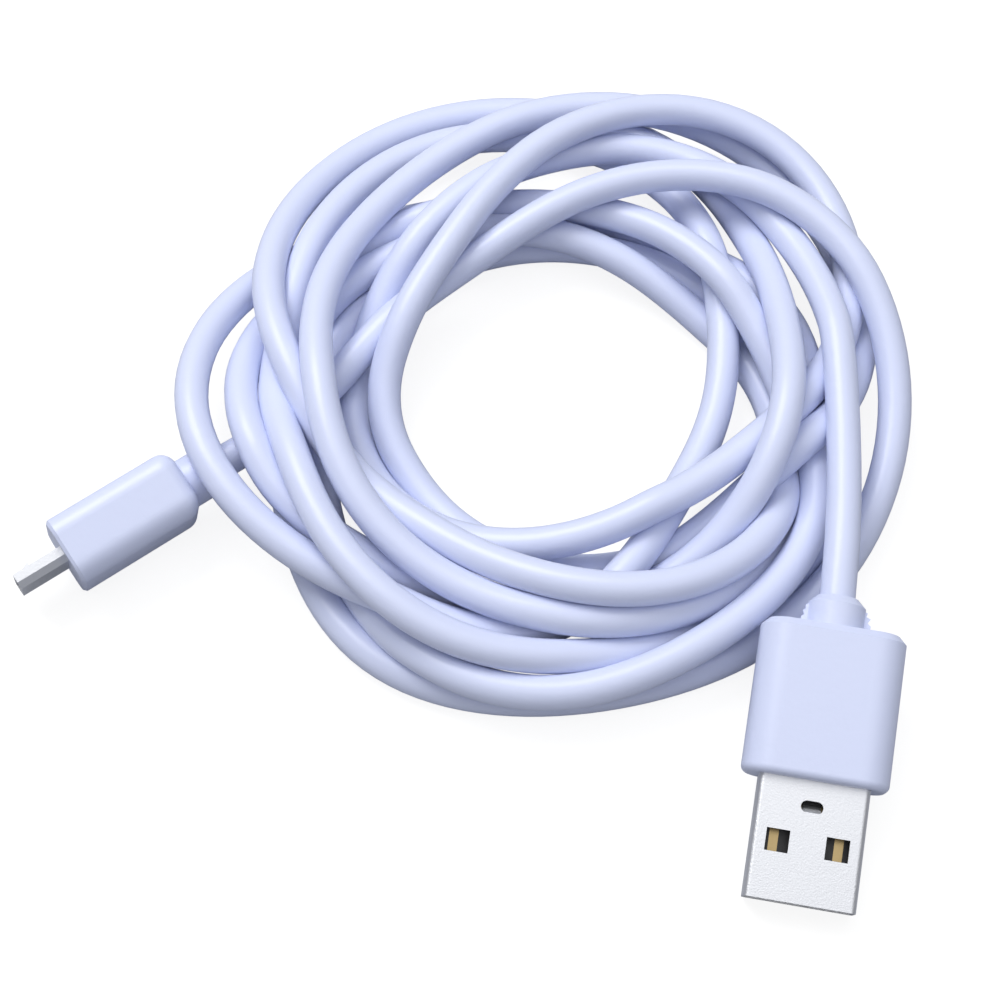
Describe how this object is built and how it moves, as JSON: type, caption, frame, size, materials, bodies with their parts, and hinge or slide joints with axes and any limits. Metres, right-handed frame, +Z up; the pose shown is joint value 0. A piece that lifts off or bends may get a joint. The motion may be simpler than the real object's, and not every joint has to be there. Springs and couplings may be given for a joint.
{
  "type": "coiled micro USB cable",
  "caption": "Coiled round white charging cable with a flat USB-A plug at one end and a small micro USB plug at the other.",
  "frame": {"origin": "on the floor under the middle of the object's box", "axes": "+Z up from the floor the coil lies on, -Y towards the side the USB-A plug points to, +X to the right seen from that side"},
  "size_m": [0.103, 0.105, 0.0133],
  "materials": {
    "steel": "satin plated sheet steel",
    "black_plastic": "satin",
    "white_pvc": "smooth satin-gloss soft PVC",
    "gold": "gold plated",
    "wire_red": "satin",
    "wire_white": "satin",
    "wire_green": "satin",
    "wire_black": "satin"
  },
  "bodies": {
    "root": {"cable_coil": "white_pvc", "micro_usb_contact_data_minus": "gold", "micro_usb_contact_data_plus": "gold", "micro_usb_contact_ground": "gold", "micro_usb_contact_power": "gold", "micro_usb_contact_sense": "gold", "micro_usb_insulator": "black_plastic", "micro_usb_latch_left": "steel", "micro_usb_latch_right": "steel", "micro_usb_lead": "white_pvc", "micro_usb_overmould": "white_pvc", "micro_usb_shell": "steel", "micro_usb_wire_black": "wire_black", "micro_usb_wire_green": "wire_green", "micro_usb_wire_red": "wire_red", "micro_usb_wire_white": "wire_white", "usb_a_contact_data_minus": "gold", "usb_a_contact_data_plus": "gold", "usb_a_contact_ground": "gold", "usb_a_contact_power": "gold", "usb_a_insulator": "black_plastic", "usb_a_lead": "white_pvc", "usb_a_overmould": "white_pvc", "usb_a_shell": "steel", "usb_a_wire_black": "wire_black", "usb_a_wire_green": "wire_green", "usb_a_wire_red": "wire_red", "usb_a_wire_white": "wire_white"}
  },
  "joints": []
}
